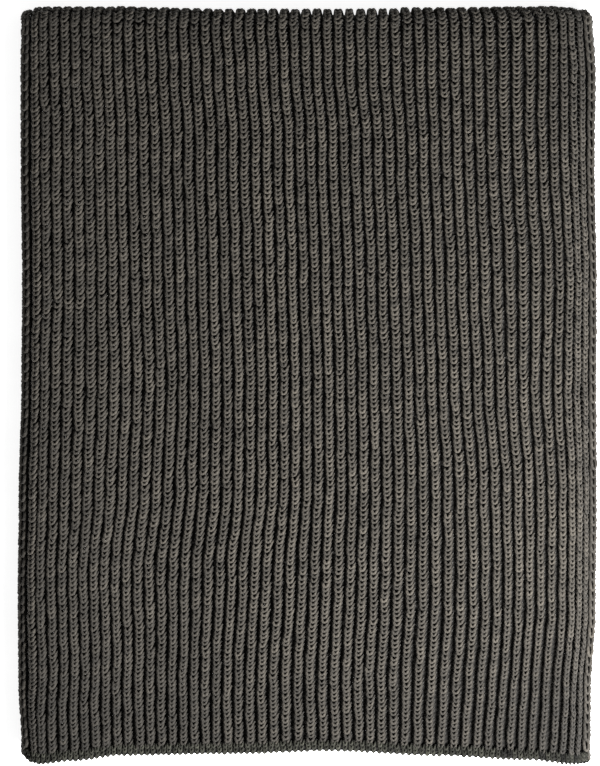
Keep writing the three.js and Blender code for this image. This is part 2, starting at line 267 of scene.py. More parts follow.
# How far the near edge lies behind its foremost corners, in mm.
NEAR_EDGE = table(
    "across back",
    (0.000, 9.0),
    (0.006, 6.2),
    (0.013, 3.4),
    (0.022, 1.6),
    (0.04, 0.6),
    (0.10, 2.4),
    (0.18, 5.6),
    (0.38, 6.6),
    (0.54, 8.2),
    (0.72, 5.4),
    (0.88, 2.8),
    (0.96, 0.0),
    (1.00, 0.8),
)
# How far the outer fold's edge lies in front of its furthest corners, in mm.
FAR_EDGE = table(
    "across front",
    (0.00, 0.2),
    (0.18, 0.3),
    (0.36, 1.5),
    (0.56, 1.6),
    (0.74, 0.8),
    (0.86, 0.1),
    (0.94, -0.2),
    (1.00, -1.4),
)
INNER_EDGE = table(
    "across back",
    (0.12, 3.4),
    (0.36, 6.4),
    (0.54, 8.0),
    (0.72, 5.6),
    (0.88, 3.0),
)

# Soft swells of the top layer: place across and along, reach, and height in mm.
SWELLS = table(
    "across along reach height",
    (0.10, 0.30, 0.14, 0.9),
    (0.24, 0.26, 0.10, -0.8),
    (0.40, 0.40, 0.16, 0.7),
    (0.62, 0.20, 0.14, 0.8),
    (0.72, 0.50, 0.18, -0.7),
    (0.85, 0.72, 0.14, 0.8),
    (0.50, 0.82, 0.16, -0.6),
    (0.22, 0.70, 0.18, 0.7),
    (0.90, 0.10, 0.10, -0.8),
    (0.34, 0.08, 0.12, 0.6),
)

# The centre line of one loop of a rib, from the groove on its left over the cup to the groove on
# its right: across and depth in mm, along in rows, and thickness as a share of the yarn's. Where
# the ribs are pulled open, a point moves outward by pull and upward by lift, in mm.
RIB_LOOP = table(
    "across along depth thick pull lift",
    (-2.50, 1.15, 4.70, 0.66, -0.60, 0.0),
    (-1.78, 0.90, 1.65, 0.84, -0.50, 0.1),
    (-1.56, 0.46, 0.86, 0.96, 0.00, 0.0),
    (-1.02, 0.06, 0.82, 0.98, 0.00, 0.0),
    (0.00, -0.04, 1.12, 0.88, 0.00, 0.0),
    (1.02, 0.06, 0.82, 0.98, 0.00, 0.0),
    (1.56, 0.46, 0.86, 0.96, 0.15, 0.0),
    (1.78, 0.90, 1.75, 0.82, 1.15, 0.5),
    (3.00, 1.22, 4.70, 0.66, 0.80, 0.0),
)

# One link of the chain of loops that runs up each side of the ribs, two rows long.
EDGE_LOOP = table(
    "across along depth thick",
    (-1.20, 1.22, 2.60, 0.85),
    (-1.60, 0.84, 1.20, 1.12),
    (-1.66, 0.40, 0.80, 1.28),
    (-1.15, 0.04, 0.70, 1.05),
    (0.00, -0.05, 0.95, 1.00),
    (1.15, 0.04, 0.70, 1.05),
    (1.76, 0.40, 0.80, 1.28),
    (1.70, 0.84, 1.20, 1.12),
    (1.20, 1.22, 2.60, 0.85),
)

# One small loop of the cast-on border: across as a share of half a rib.
BORDER_LOOP = table(
    "across along depth thick",
    (-0.36, 1.30, 2.4, 0.80),
    (-0.30, 0.72, 1.1, 1.00),
    (-0.14, 0.12, 0.6, 1.10),
    (0.14, 0.12, 0.6, 1.10),
    (0.28, 0.72, 1.1, 1.00),
    (0.34, 1.30, 2.4, 0.80),
)

# One wrap of yarn round a border's nose: across as a share of half a rib, angle above straight
# forward, and how far it sinks in, in mm.
NOSE_WRAP = table(
    "across angle sink thick",
    (-0.10, 85, 1.4, 0.80),
    (-0.24, 60, 0.2, 1.00),
    (-0.14, 28, 0.0, 1.10),
    (0.02, -2, -0.1, 1.15),
    (0.16, -32, 0.0, 1.10),
    (0.26, -62, 0.2, 1.00),
    (0.12, -88, 1.4, 0.80),
)

# One link of the chain along a selvedge: angle above straight outward, place along in links,
# and how far it sinks in, in mm.
SELVEDGE_LINK = table(
    "angle along sink thick",
    (98, 1.22, 1.8, 0.80),
    (114, 0.82, 0.4, 0.95),
    (114, 0.36, -0.1, 1.00),
    (86, 0.02, 0.1, 1.05),
    (56, -0.06, 0.3, 1.05),
    (26, 0.02, 0.1, 1.05),
    (4, 0.36, -0.8, 1.00),
    (-4, 0.82, 0.3, 0.95),
    (8, 1.22, 1.8, 0.80),
)

# Sides of the two hidden layers: distance out from the end of the flat and height, in mm, of the
# upper and the lower surface, from the crease between the layers to the flat.
LEFT_CORE = table(
    "upper_out upper_high lower_out lower_high",
    (7.2, 10.55, 7.2, 10.30),
    (9.2, 11.50, 10.4, 9.90),
    (6.9, 13.20, 12.0, 7.80),
    (3.8, 14.70, 10.6, 5.70),
    (0.0, 15.60, 8.0, 5.30),
)
RIGHT_CORE = table(
    "upper_out upper_high lower_out lower_high",
    (9.5, 10.55, 9.5, 10.30),
    (12.2, 11.30, 12.8, 9.90),
    (8.6, 13.60, 15.6, 7.80),
    (4.4, 14.90, 14.2, 5.70),
    (0.0, 15.60, 11.0, 5.30),
)

# Loops as they usually are: how wide and thick, how far they lean and tilt to the right and are pulled
# open, how light their yarn is, and how much painted shade lies on them.
USUAL = {
    "spread": 0.92, "thick": 1.02, "lean": 0, "tilt": 0.10, "flank": 0.20, "tone": 0.5, "shade": 0
}
# Parts of the cloth where they differ: the places across and along between which each part fades
# in, and the changes there.
ALL = (-2, -1)
LEFT = (0.50, 0.04)
FRONT = (0.38, 0.02)
PARTS = (
    (LEFT, ALL, {"thick": 0.10, "flank": 0.24, "shade": 0.28}),
    (LEFT, (0.02, 0.38), {"spread": 0.05}),
    (LEFT, (0.35, 0.75), {"lean": -0.10}),
    (ALL, FRONT, {"spread": -0.02, "thick": -0.02}),
    ((0.55, 0.85), FRONT, {"spread": -0.12, "thick": -0.09, "flank": -0.14}),
    ((0.66, 0.36), (0.36, 0.14), {"shade": 0.20}),
    ((0.62, 0.92), (0.28, 0.04), {"shade": 0.52}),
    ((0.88, 0.94), (0.80, 0.92), {"shade": 0.30}),
    ((0.935, 0.965), ALL, {"spread": -0.16, "thick": -0.10}),
    ((0.93, 0.97), ALL, {"shade": 0.20}),
    (ALL, (0.18, 0.02), {"shade": 0.34}),
    # Painted shade: the yarn of the last rows is darker, where the strip turns away into the outer
    # fold.
    (ALL, (0.96, 1.0), {"tone": -0.30}),
)


# ---------------------------------------------------------------- the folded cloth


def points(x, y, z):
    """Points with these places, each a number or an array."""
    return np.stack(np.broadcast_arrays(x, y, z), -1)


class FoldedCloth:
    """Where the surfaces of the folded scarf lie. Each surface takes places across (0 to 1 from the
    left selvedge), places along and a depth under the crests, and gives points and outward normals."""

    def __init__(self):
        sizes = bpy.context.scene.scarf_sizes
        self.sizes = sizes
        self.ribs = sizes.ribs
        self.reach = sizes.side_reach
        self.height = sizes.stack_height
        self.thickness = sizes.cloth_thickness
        self.hem_depth = sizes.hem_depth
        self.far_start = cad_high.y - self.height / 2
        self.near = cad_high.y - sizes.folded_length
        self.left_radius = sizes.left_bend_radius
        self.right_radius = sizes.right_bend_radius
        self.length = self.far_start - self.near - self.hem_depth
        self.fold_end = 1 + math.pi * (self.height / 2) / self.length
        self.tight_radius = self.thickness + SEAM
        self.near_radius = self.thickness + SEAM / 2
        middle = {name: float(place) for name, place in self.outline(0.5).items()}
        self.width = middle["flat_right"] - middle["flat_left"]
        self.width += self.left_radius * middle["left_angle"]
        self.width += self.right_radius * middle["right_angle"]

    def outline(self, along):
        """The sides of the crest lines, how far they bend down, and the flat between the bends."""
        along = np.clip(along, 0, 1)
        left = read(SIDES, "left", along) * MM - self.reach
        right = self.reach - read(SIDES, "right", along) * MM
        left_angle = np.radians(read(SIDES, "left_bend", along))
        right_angle = np.radians(read(SIDES, "right_bend", along))
        return {
            "left": left,
            "right": right,
            "left_angle": left_angle,
            "right_angle": right_angle,
            "flat_left": left + self.left_radius * np.sin(left_angle),
            "flat_right": right - self.right_radius * np.sin(right_angle),
        }

    def sway(self, across, along):
        """Sideways lean of the ribs."""
        along = np.clip(along, 0, 1)
        leans = np.stack([read(SWAY, name, along) for name in list(SWAY)[1:]], -1)
        low, share = around(np.array(SWAY_PLACES), across)
        first = np.take_along_axis(leans, low[..., None], -1)[..., 0]
        second = np.take_along_axis(leans, low[..., None] + 1, -1)[..., 0]
        return (first + (second - first) * share) * MM

    def crest(self, across, along):
        """Place across, drop and tilt of the top layer's crest line."""
        o = self.outline(along)
        left, right = self.left_radius, self.right_radius
        left_arc = left * o["left_angle"]
        flat = o["flat_right"] - o["flat_left"]
        girth = left_arc + flat + right * o["right_angle"]
        distance = across * girth + self.sway(across, along)
        left_bend = np.maximum(left_arc - distance, 0) / left
        right_bend = np.maximum(distance - left_arc - flat, 0) / right
        middle = o["flat_left"] + np.clip(distance - left_arc, 0, flat)
        x = middle - left * np.sin(left_bend) + right * np.sin(right_bend)
        drop = left * (1 - np.cos(left_bend)) + right * (1 - np.cos(right_bend))
        return x, drop, right_bend - left_bend

    def share_across(self, x):
        return (x + self.reach) / (2 * self.reach)

    def near_edge(self, x):
        return self.near + read(NEAR_EDGE, "back", self.share_across(x)) * MM

    def inner_edge(self, x):
        """Front of the border tucked in under the hem."""
        back = np.interp(self.share_across(x), INNER_EDGE["across"], INNER_EDGE["back"])
        return self.near + back * MM + INNER_HEM_SETBACK

    def low_y(self, x, along, gap=0.0):
        """Places along the layers under the top one, from the near fold (0) to the far end (1)."""
        start = self.inner_edge(x) + self.hem_depth + gap
        return start + (self.far_start - start) * along

    def swell(self, across, along):
        """Soft hills and hollows of the top layer."""
        lift = 0
        for place, row, reach, height in zip(*SWELLS.values()):
            away = ((across - place) / reach) ** 2 + ((along - row) / reach) ** 2
            lift = lift + height * MM * np.exp(-away)
        return lift * ease(np.clip(along, 0, 1), 1.0, 0.94)

    def strip(self, across, along, depth):
        """The top layer from the front hem (along 0) to its far end (1), and the outer fold beyond."""
        across, along = np.broadcast_arrays(across, along)
        x, drop, tilt = self.crest(across, along)
        setback = (1 - np.clip(along, 0, 1)) * (self.near_edge(x) - self.near)
        radius = np.maximum((self.height - drop) / 2, self.tight_radius)
        turn = np.clip((along - 1) * self.length / (self.height / 2), 0, math.pi)
        share = turn / math.pi
        lean = tilt * (1 - share)
        normal = points(np.sin(lean), np.cos(lean) * np.sin(turn), np.cos(lean) * np.cos(turn))
        shown = ease(along, 0.9, 1.0) * ease(share, 1.0, 0.5)
        far_start = self.far_start - read(FAR_EDGE, "front", across) * MM * shown
        x = x + (self.under_x(across, 1.0) - x) * smooth(share)
        high = self.height - drop + self.swell(across, along)
        top = points(x, far_start - (1 - along) * self.length + setback, high)
        fold = points(x, far_start + radius * np.sin(turn), radius * (1 + np.cos(turn)))
        crest = np.where((along <= 1)[..., None], top, fold)
        return crest - normal * np.asarray(depth)[..., None], normal

    def under_x(self, across, along):
        """Place across of the bottom layer."""
        o = self.outline(along)
        left = o["left"] + UNDER_LEFT_INSET
        right = o["right"] - UNDER_RIGHT_INSET
        return left + (right - left) * across

    def under(self, across, along, depth):
        """The bottom layer's underside, which lies flat on the floor."""
        x = self.under_x(across, along)
        return points(x, self.low_y(x, along), depth), np.array([0.0, 0.0, -1.0])

    def near_fold(self, across, turn, depth):
        """The half-round fold behind the front hem. Its places along are shares of the half turn."""
        left, right = near_low.x, near_high.x
        x = left + (right - left) * across
        to_end = np.clip(np.minimum(x - left, right - x) / FOLD_TAPER, 0, 1)
        full = FOLD_END_RADIUS + (1 - FOLD_END_RADIUS) * np.sqrt(1 - (1 - to_end) ** 2)
        radius = self.near_radius * full
        angle = turn * math.pi
        normal = points(0, -np.sin(angle), np.cos(angle))
        centre = points(x, self.low_y(x, 0), self.near_radius)
        return centre + normal * (radius - depth)[..., None], normal

    def inner_border(self, across, back, depth):
        """The bound-off border tucked in under the front hem: places along are distances back."""
        x = hem_low.x + (hem_high.x - hem_low.x) * across
        return points(x, self.inner_edge(x) + back, hem_high.z - depth), np.array([0.0, 0.0, 1.0])

    def front_border(self, across, back, depth):
        """The cast-on border of the top layer: places along are distances back from its nose."""
        return self.strip(across, (back - self.hem_depth) / self.length, depth)


# ---------------------------------------------------------------- meshes


def new_object(name, data, place=(0, 0, 0)):
    made = bpy.data.objects.new(name, data)
    made.location = place
    bpy.context.scene.collection.objects.link(made)
    return made


def new_piece(name, corners, faces, material):
    mesh = bpy.data.meshes.new(name)
    mesh.from_pydata(np.asarray(corners, float).reshape(-1, 3), [], faces)
    mesh.materials.append(material)
    return new_object(name, mesh)


def scarf_piece(name, corners, faces, finish):
    """A smooth piece that rides on the scarf's body."""
    piece = new_piece(name, corners, faces, finish_of(finish))
    piece.data.polygons.foreach_set("use_smooth", np.ones(len(faces), bool))
    piece.data.update()
    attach(piece, BODY)
    return piece


def point_values(mesh, name, values):
    layer = mesh.attributes.new(name, "FLOAT", "POINT")
    layer.data.foreach_set("value", np.asarray(values, np.float32))


def unit(vectors):
    return vectors / np.maximum(np.linalg.norm(vectors, axis=-1, keepdims=True), 1e-12)


def joined(*groups):
    """Several groups of yarns as one. A group has centre lines, normals, radii, tones and crests, the
    share of colour that painted shade leaves.
    """
    return tuple(np.concatenate(parts) for parts in zip(*groups))


def ladder(first, second):
    """Faces of four corners between two lines of points."""
    corners = (first[..., :-1], first[..., 1:], second[..., 1:], second[..., :-1])
    return np.stack(corners, -1).reshape(-1, 4)


def tube_faces(rings, sides):
    """Walls and end caps of a tube whose points are numbered ring after ring."""
    numbers = np.arange(rings * sides).reshape(rings, sides)
    closed = np.concatenate([numbers, numbers[:, :1]], 1)
    return ladder(closed[:-1], closed[1:]), np.stack([numbers[0, ::-1], numbers[-1]])


def yarn_piece(name, yarns, finish="rib_yarn"):
    """One mesh of many short yarns. Centre lines and normals are (yarns, rings, 3)."""
    centres, normals, radii, tones, crests = yarns
    tubes, rings = radii.shape
    along = unit(np.gradient(centres, axis=1))
    side = unit(np.cross(along, normals))
    up = np.cross(side, along)
    angles = YARN_TURNS + math.pi / 2
    ring = np.cos(angles)[:, None] * side[:, :, None] + np.sin(angles)[:, None] * up[:, :, None]
    corners = centres[:, :, None] + radii[:, :, None, None] * ring
    corners[..., 2] = np.maximum(corners[..., 2], 0)
    first = np.arange(tubes)[:, None, None] * (rings * YARN_SIDES)
    faces = []
    for part in tube_faces(rings, YARN_SIDES):
        faces += (part[None] + first).reshape(-1, part.shape[1]).tolist()
    piece = scarf_piece(name, corners, faces, finish)
    lay_yarn_maps(piece.data, tubes, rings)
    # tone is each yarn's random lightness, on the ribs darkened as painted shade over the last rows
    # before the outer fold; crest is painted light, the share of colour that painted shade leaves.
    point_values(piece.data, "tone", np.repeat(tones, rings * YARN_SIDES))
    point_values(piece.data, "crest", np.repeat(crests.ravel(), YARN_SIDES))
    return piece


def lay_yarn_maps(mesh, tubes, rings):
    """Two UV maps: one that runs round and along each yarn for its plies, and one for baking, in
    which each yarn has its own cell."""
    grid = np.meshgrid(np.arange(YARN_SIDES + 1) / YARN_SIDES, np.arange(rings) / (rings - 1))
    numbers = np.arange(grid[0].size).reshape(grid[0].shape)
    wall = np.stack(grid, -1).reshape(-1, 2)[ladder(numbers[:-1], numbers[1:])]
    cap = 0.5 + 0.5 * np.stack([np.cos(YARN_TURNS), np.sin(YARN_TURNS)], -1)
    walls = np.tile(wall.reshape(-1, 2), (tubes, 1, 1))
    caps = np.tile(cap, (tubes, 2, 1))
    cells = math.ceil(math.sqrt(tubes))
    row, column = np.divmod(np.arange(tubes)[:, None], cells)
    wall_share, margin = 0.88, 0.04
    placed = []
    for uv, low, share in ((walls, 0.0, wall_share), (caps, wall_share, 1 - wall_share)):
        inset = margin + (1 - 2 * margin) * uv
        cell = np.stack([column + inset[..., 0], row + low + share * inset[..., 1]], -1)
        placed.append(cell / cells)
    for name, parts in (("plies", (walls, caps)), ("OFBake", placed)):
        layer = mesh.uv_layers.new(name=name)
        places = np.concatenate([part.reshape(-1, 2) for part in parts])
        layer.data.foreach_set("uv", places.astype(np.float32).ravel())
    mesh.uv_layers["OFBake"].active_render = True
    mesh.uv_layers.active = mesh.uv_layers["OFBake"]


def shell_faces(rows, outer_columns, inner_columns):
    """Faces of a closed shell between an outer grid and a plainer inner one."""
    outer = np.arange(rows * outer_columns).reshape(rows, -1)
    inner = np.arange(rows * inner_columns).reshape(rows, -1) + outer.size
    sides = (
        ladder(outer[:-1], outer[1:]),
        ladder(inner[:-1], inner[1:])[:, ::-1],
        ladder(outer[:, 0], inner[:, 0]),
        ladder(outer[::-1, -1], inner[::-1, -1]),
    )
    faces = np.concatenate(sides).tolist()
    ratio = (outer_columns - 1) // (inner_columns - 1)
    for row, turn in ((0, 1), (-1, -1)):
        for col in range(inner_columns - 1):
            behind = inner[row, col : col + 2].tolist()
            facing = outer[row, col * ratio : (col + 1) * ratio + 1].tolist()
            faces.append((behind + facing[::-1])[::turn])
    return faces


def shell_piece(name, outer, inner, finish, crests=0.5, facing_down=False):
    """A closed shell as a piece. The grids are (rows, columns, 3), and crests says how far each outer
    column stands out of the grooves, from which its material paints shade between the ribs."""
    faces = shell_faces(*outer.shape[:2], inner.shape[1])
    if facing_down:
        faces = [face[::-1] for face in faces]
    corners = np.concatenate([outer.reshape(-1, 3), inner.reshape(-1, 3)])
    piece = scarf_piece(name, corners, faces, finish)
    inner_crests = np.full(inner.shape[0] * inner.shape[1], 0.5)
    outer_crests = np.broadcast_to(crests, outer.shape[:2]).ravel()
    point_values(piece.data, "crest", np.concatenate([outer_crests, inner_crests]))
    return piece


def bead_piece(name, loops, finish):
    """A closed bead through a row of closed loops, (loops, points, 3), as a piece."""
    walls, caps = tube_faces(*loops.shape[:2])
    return scarf_piece(name, loops, walls.tolist() + caps.tolist(), finish)


# ---------------------------------------------------------------- materials


class Nodes:
    """Small help for writing a material's nodes."""

    def __init__(self, name):
        self.material = bpy.data.materials.new(name)
        self.material.use_nodes = True
        self.tree = self.material.node_tree
        self.shader = next(n for n in self.tree.nodes if n.type == "BSDF_PRINCIPLED")

    def fill(self, node, inputs):
        """Set a node's inputs to numbers and colours, or link other nodes' outputs to them."""
        for key, value in inputs.items():
            if isinstance(value, bpy.types.NodeSocket):
                self.tree.links.new(value, node.inputs[key])
            else:
                node.inputs[key].default_value = value
        return node

    def add(self, kind, inputs=None, **settings):
        node = self.tree.nodes.new(kind)
        for key, value in settings.items():
            setattr(node, key, value)
        return self.fill(node, inputs or {})

    def math(self, operation, first, second=0.0):
        node = self.add("ShaderNodeMath", {0: first, 1: second}, operation=operation)
        return node.outputs[0]

    def times_plus(self, output, factor, offset):
        return self.math("ADD", self.math("MULTIPLY", output, factor), offset)

    def mix(self, *weighted):
        """Sum of outputs, each times its weight."""
        total, *parts = [self.math("MULTIPLY", output, weight) for output, weight in weighted]
        for part in parts:
            total = self.math("ADD", total, part)
        return total

    def wave(self, angle):
        """A wave between 0 and 1."""
        return self.times_plus(self.math("SINE", angle), 0.5, 0.5)

    def noise(self, vector, scale, detail=2.0, roughness=0.5):
        inputs = {"Vector": vector, "Scale": scale, "Detail": detail, "Roughness": roughness}
        return self.add("ShaderNodeTexNoise", inputs).outputs["Fac"]

    def ramp(self, factor, *stops):
        node = self.add("ShaderNodeValToRGB", {"Fac": factor})
        elements = node.color_ramp.elements
        while len(elements) < len(stops):
            elements.new(0.5)
        for element, (place, colour) in zip(elements, stops):
            element.position = place
            element.color = (*colour, 1)
        return node.outputs["Color"]

    def bump(self, height, distance, strength):
        inputs = {"Height": height, "Distance": distance, "Strength": strength}
        return self.add("ShaderNodeBump", inputs).outputs["Normal"]

    def object_place(self):
        return self.add("ShaderNodeTexCoord").outputs["Object"]

    def split(self, vector):
        return self.add("ShaderNodeSeparateXYZ", {"Vector": vector}).outputs

    def attribute(self, name):
        return self.add("ShaderNodeAttribute", attribute_name=name).outputs["Fac"]

    def surface(self, inputs):
        """The material, its shader's inputs filled."""
        self.fill(self.shader, inputs)
        return self.material


def scaled(colour, share):
    return tuple(channel * share for channel in colour)


def yarn_material(name, light, dark, gloss=1.0, hollow_shade=0.36):
    """Heathered woollen yarn: two plies twisted together, with fine fibres and a soft sheen. Its colour
    is darkened by painted shade, which the crest attribute carries: down to a given share where a loop
    runs down between its neighbours or where painted shade is laid on it."""
    n = Nodes(name)
    place = n.object_place()
    parts = n.split(n.add("ShaderNodeUVMap", uv_map="plies").outputs["UV"])
    plies, twists = 2.0, 8.0
    turn = (parts["X"], plies * 2 * math.pi)
    run = (parts["Y"], twists * 2 * math.pi)
    ply = n.wave(n.mix(turn, run))
    fibre = n.noise(place, 2600, detail=3.0, roughness=0.65)
    heather = n.noise(place, 760)
    mottle = n.noise(place, 22)
    tone = n.attribute("tone")
    shade = n.mix((heather, 0.46), (fibre, 0.14), (tone, 0.26), (mottle, 0.08), (ply, 0.06))
    colour = n.ramp(shade, (0.28, dark), (0.52, scaled(light, 0.66)), (0.70, scaled(light, 1.15)))
    # Painted shade: the colour is scaled down by the crest attribute, to the hollow's share at the
    # least.
    light_share = n.times_plus(n.attribute("crest"), 1 - hollow_shade, hollow_shade)
    shaded = n.add("ShaderNodeVectorMath", {0: colour, "Scale": light_share}, operation="SCALE")
    return n.surface(
        {
            "Base Color": shaded.outputs[0],
            "Roughness": n.times_plus(fibre, 0.16, 0.70),
            "Specular IOR Level": 0.3 * gloss,
            "Sheen Weight": 0.06 * gloss,
            "Sheen Roughness": 0.45,
            "Sheen Tint": (0.95, 0.93, 0.88, 1),
            "Normal": n.bump(n.mix((ply, 0.7), (fibre, 0.6)), 0.22 * MM, 0.6),
        }
    )


def knit_ground_material(name, light, dark, row_height):
    """Knitting seen as a surface: slanting strands in rows, with painted shade between the ribs."""
    n = Nodes(name)
    place = n.object_place()
    parts = n.split(place)
    fibre = n.noise(place, 1900, detail=3.0, roughness=0.6)
    strand = n.noise(place, 380, detail=1.0)
    # The strands of each row rise to the right and wander a little.
    a_row = 2 * math.pi / row_height
    slant, wander = -0.5, 5.0
    phase = n.mix((parts["Y"], a_row), (parts["X"], slant * a_row), (n.noise(place, 90), wander))
    rows = n.wave(phase)
    # The crest attribute paints shade between the ribs.
    shade = n.mix((rows, 0.34), (strand, 0.26), (fibre, 0.16), (n.attribute("crest"), 0.36))
    relief = n.mix((rows, 1.0), (strand, 0.5), (fibre, 0.25))
    return n.surface(
        {
            "Base Color": n.ramp(shade, (0.30, dark), (0.85, light)),
            "Roughness": n.times_plus(fibre, 0.12, 0.84),
            "Specular IOR Level": 0.2,
            "Normal": n.bump(relief, 0.7 * MM, 0.9),
        }
    )


def finish_of(name):
    """The scarf's materials, made once each."""
    if name in bpy.data.materials:
        return bpy.data.materials[name]
    colours = bpy.context.scene.scarf_colours
    light, dark, inner = tuple(colours.yarn_light), tuple(colours.yarn_dark), tuple(colours.inner)
    if name == "rib_yarn":
        return yarn_material(name, light, dark)
    if name == "border_yarn":
        light, dark = tuple(colours.border_light), tuple(colours.border_dark)
        return yarn_material(name, light, dark, gloss=0.4, hollow_shade=0.14)
    row_height = bpy.context.scene.scarf_sizes.row_height
    if name == "bottom_yarn":
        return knit_ground_material(name, scaled(light, 0.9), dark, row_height)
    # The inner yarn, painted shade: a far darker yarn for the walls deep between the ribs, the hidden
    # layers and the bodies of the borders.
    return knit_ground_material(name, scaled(inner, 1.7), scaled(inner, 0.4), row_height)


# ---------------------------------------------------------------- the knitting


def row_places(cloth):
    """Places along the strip of the rows of loops, from the border to the end of the outer fold."""
    close, loose = cloth.sizes.close_row_height, cloth.sizes.row_height
    places, along = [], 0.0
    while along < cloth.fold_end:
        places.append(along)
        along += (close + (loose - close) * ease(along, 0.0, 0.3)) / cloth.length
    return np.array(places)


def lay_loops(
    surface, loop, across, along, yarn, seed, *, unit_width, rise, row_shift=0.35, tone=0.5, **changes
):
    """Yarns of loops on a surface, one for each place across and each place along.

    across and a loop's own width are in shares of the surface's width, and along and rise, the
    height of a row, in the surface's own measure. Changes, such as spread and lean, are numbers
    or one value a loop.
    """
    names = ("lean", "tilt", "sink", "shade", "flank", "turned_up")
    changes = {"spread": 1, "thick": 1, **dict.fromkeys(names, 0), **changes}
    values = [np.asarray(value, float)[..., None] for value in changes.values()]
    spread, thick, lean, tilt, sink, shade, flank, turned_up = values
    rng = np.random.default_rng(seed)
    shape = (len(across), len(along), 1)
    middle = 1 - np.abs(loop["across"]) / np.abs(loop["across"]).max()
    a = loop["across"] * spread + lean * middle + rng.normal(0, 0.08, shape)
    b = loop["along"] / np.sqrt(spread) + tilt * loop["across"] + rng.normal(0, 0.06, shape)
    b = b + rng.uniform(-row_shift, row_shift, (len(across), 1, 1))
    depth = loop["depth"] - turned_up * loop["across"] + rng.normal(0, 0.13, shape) + sink
    if "pull" in loop:
        a = a + flank * loop["pull"]
        depth = depth - flank * loop["lift"]
    places = across.reshape(len(across), -1, 1) + a * unit_width
    centres, normals = surface(places, along[:, None] + b * rise, depth * MM)
    radii = yarn * loop["thick"] * rng.normal(1, 0.08, shape) * thick
    tones = tone + rng.normal(0, 0.24, shape[:2])
    # Painted shade: yarn darkens the deeper it lies under the crests, and where painted shade is laid
    # on the loops.
    crests = ease(depth, SHADED_DEPTH, LIT_DEPTH) * (1 - shade)
    rings = centres.shape[:-1]
    yarns = (rings[0] * rings[1], rings[2])
    return (
        centres.reshape(*yarns, 3),
        np.broadcast_to(normals, centres.shape).reshape(*yarns, 3),
        np.broadcast_to(radii, rings).reshape(yarns),
        np.clip(tones, 0, 1).reshape(-1),
        np.broadcast_to(crests, rings).reshape(yarns),
    )


def loop_character(cloth, ribs, along, seed):
    """How the loops of the ribs change from place to place, and how uneven they are."""
    rng = np.random.default_rng(seed)
    across = (ribs[:, None] + 0.5) / cloth.ribs
    up = np.clip(along, 0, 1)
    each, each_rib = (len(ribs), len(along)), (len(ribs), 1)
    made = {name: np.full(each, usual, float) for name, usual in USUAL.items()}
    for across_ends, along_ends, changes in PARTS:
        share = ease(across, *across_ends) * ease(up, *along_ends)
        for name, change in changes.items():
            made[name] += change * share
    left = ease(across, *LEFT)
    made["spread"] *= rng.normal(1, 0.05, each)
    made["spread"] *= rng.normal(1, 0.03, each_rib)
    made["lean"] += (0.13 + 0.04 * left) * rng.normal(0, 1, each)
    made["tilt"] += (0.045 + 0.015 * left) * rng.normal(0, 1, each) - 0.07 * across
    made["tone"] += rng.normal(0, 0.10, each_rib)
    made["flank"] += rng.normal(0, 0.09, each)
    made["shade"] = np.clip(made["shade"], 0, 0.9)
    return made


def rib_lines(cloth, ribs, along, seed):
    """Each rib's line, in shares of the cloth's width, with its small sideways wander. The first
    and last ribs make room for the chains along the selvedges."""
    rng = np.random.default_rng(seed)
    middle = 0.5 + ((ribs + RIB_LINE) / cloth.ribs - 0.5) * RIB_CLOSE
    room = EDGE_ROOM * (ease(middle, 0.93, 0.97) - ease(middle, 0.06, 0.03))
    line = (middle - room / cloth.ribs)[:, None] + np.zeros((len(ribs), len(along)))
    for waves, size in ((9, 0.18), (17, 0.14), (31, 0.10)):
        phase = rng.uniform(0, 2 * math.pi, (len(ribs), 1))
        bent = waves * rng.uniform(0.85, 1.15, (len(ribs), 1))
        line += size * MM / cloth.width * np.sin(2 * math.pi * bent * along + phase)
    return line


def rib_yarns(cloth, ribs, along, seed):
    """The loops of some ribs of the strip. Beside the border they sink to its level."""
    return lay_loops(
        cloth.strip,
        RIB_LOOP,
        rib_lines(cloth, ribs, along, seed + 700),
        along,
        cloth.sizes.yarn_radius,
        seed,
        rise=np.gradient(along)[:, None],
        sink=0.6 * ease(along, 0.012, 0.0),
        unit_width=MM / cloth.width,
        **loop_character(cloth, ribs, along, seed + 500),
    )


def wall_piece(
    name,
    cloth,
    surface,
    along,
    inner_depth,
    *,
    phases=WALL_PHASES,
    depth=WALL_DEPTH,
    relief=WALL_RELIEF,
    raised_edge=RAISED_EDGE,
    edge_lift=EDGE_LIFT,
    finish="inner_yarn_painted_shade",
    facing_down=False,
):
    """A wall of cloth as a piece: ribbed outside, with painted shade between the ribs, and plain
    inside. A raised edge stands up into the chain along the side."""
    ribs = cloth.ribs
    across = [(rib + phase) / ribs for rib in range(ribs) for phase, _ in phases]
    cuts = np.array([cut for _, cut in phases] * ribs + [phases[0][1]])
    crests = 1 - cuts
    if raised_edge:
        cuts[[0, 1, -2, -1]] = -raised_edge
    outer, _ = surface(np.array(across + [1.0]), along[:, None], depth + relief * cuts)
    inner_depths = np.full(ribs + 1, inner_depth)
    inner_depths[[0, -1]] -= edge_lift
    inner, _ = surface(np.linspace(0, 1, ribs + 1), along[:, None], inner_depths)
    return shell_piece(name, outer, inner, finish, crests, facing_down)


def edge_loops(cloth, side, places, seed):
    """The chain of loops that stands in for the last rib at the left (-1) or right (1) side."""
    inset, changes = EDGE_CHAINS[side]
    across = np.array([0.5 + side * (0.5 - inset / cloth.width)])
    fit = {"rise": places[1] - places[0], "row_shift": 0.0, "unit_width": MM / cloth.width}
    return lay_loops(
        cloth.strip, EDGE_LOOP, across, places, EDGE_YARN, seed, tone=0.45, **fit, **changes
    )


